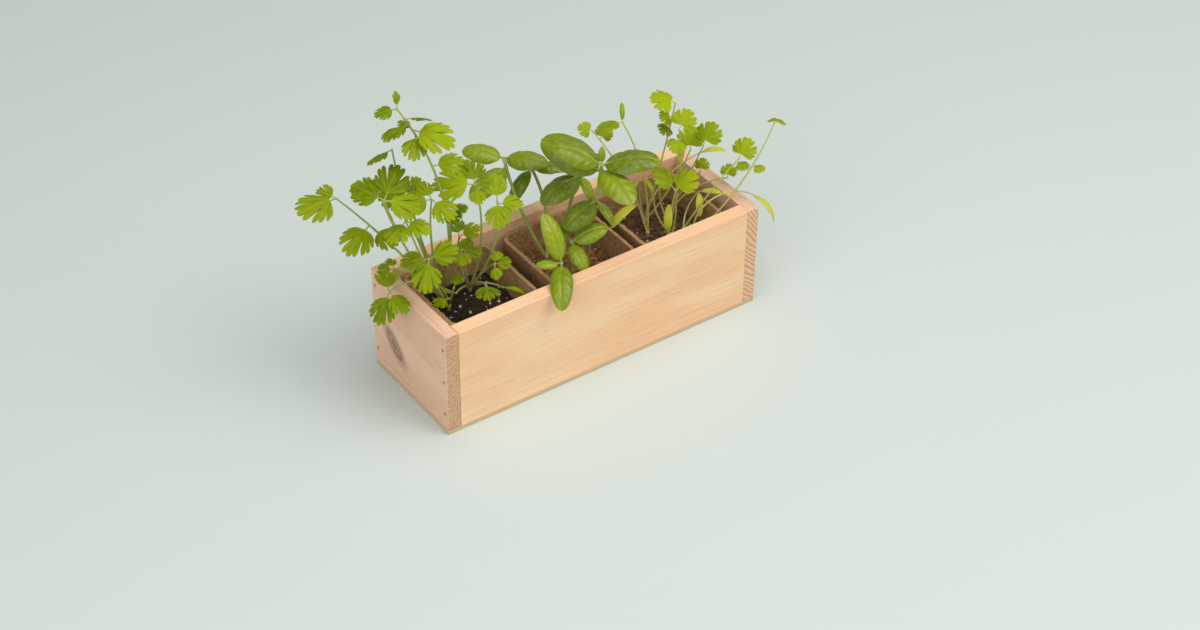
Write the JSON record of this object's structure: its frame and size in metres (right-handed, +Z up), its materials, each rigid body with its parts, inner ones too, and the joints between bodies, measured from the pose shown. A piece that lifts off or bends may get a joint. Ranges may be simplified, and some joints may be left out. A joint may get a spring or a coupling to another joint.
{
  "type": "indoor herb planter",
  "caption": "Open pine box with a plywood base and nailed butt joints, holding a row of square peat pots of soil with parsley, basil and cilantro seedlings; each pot lifts out.",
  "frame": {"origin": "middle of the box underside", "axes": "+X along the box, from the parsley end to the cilantro end; +Y from the front board to the back board; +Z up"},
  "size_m": [0.3427, 0.1347, 0.2281],
  "materials": {
    "pine_end_boards": "matte",
    "pine_side_boards": "matte",
    "plywood": "matte",
    "brad_steel": "satin",
    "pressed_peat": "matte",
    "potting_soil": "matte",
    "parsley_stalk": "satin",
    "parsley_leaf": "satin",
    "basil_stalk": "satin",
    "basil_leaf": "gloss",
    "cilantro_stalk": "satin",
    "cilantro_leaf": "satin"
  },
  "bodies": {
    "box": {"base_panel": "plywood", "brads_base": "brad_steel", "brads_left": "brad_steel", "brads_right": "brad_steel", "end_board_left": "pine_end_boards", "end_board_right": "pine_end_boards", "side_board_back": "pine_side_boards", "side_board_front": "pine_side_boards"},
    "parsley_pot": {"parsley_1_leaves": "parsley_leaf", "parsley_1_stalks": "parsley_stalk", "parsley_2_leaves": "parsley_leaf", "parsley_2_stalks": "parsley_stalk", "parsley_3_leaves": "parsley_leaf", "parsley_3_stalks": "parsley_stalk", "parsley_pot": "pressed_peat", "parsley_soil": "potting_soil"},
    "basil_pot": {"basil_1_leaves": "basil_leaf", "basil_1_stalks": "basil_stalk", "basil_2_leaves": "basil_leaf", "basil_2_stalks": "basil_stalk", "basil_3_leaves": "basil_leaf", "basil_3_stalks": "basil_stalk", "basil_4_leaves": "basil_leaf", "basil_4_stalks": "basil_stalk", "basil_5_leaves": "basil_leaf", "basil_5_stalks": "basil_stalk", "basil_pot": "pressed_peat", "basil_soil": "potting_soil"},
    "cilantro_pot": {"cilantro_1_leaves": "cilantro_leaf", "cilantro_1_stalks": "cilantro_stalk", "cilantro_2_leaves": "cilantro_leaf", "cilantro_2_stalks": "cilantro_stalk", "cilantro_3_leaves": "cilantro_leaf", "cilantro_3_stalks": "cilantro_stalk", "cilantro_4_leaves": "cilantro_leaf", "cilantro_4_stalks": "cilantro_stalk", "cilantro_5_leaves": "cilantro_leaf", "cilantro_5_stalks": "cilantro_stalk", "cilantro_6_leaves": "cilantro_leaf", "cilantro_6_stalks": "cilantro_stalk", "cilantro_7_leaves": "cilantro_leaf", "cilantro_7_stalks": "cilantro_stalk", "cilantro_pot": "pressed_peat", "cilantro_soil": "potting_soil"}
  },
  "joints": [
    {"name": "parsley_lift", "type": "slide", "parent": "box", "child": "parsley_pot", "axis": [0, 0, 1], "range_m": [0, 0.1]},
    {"name": "basil_lift", "type": "slide", "parent": "box", "child": "basil_pot", "axis": [0, 0, 1], "range_m": [0, 0.1]},
    {"name": "cilantro_lift", "type": "slide", "parent": "box", "child": "cilantro_pot", "axis": [0, 0, 1], "range_m": [0, 0.1]}
  ]
}
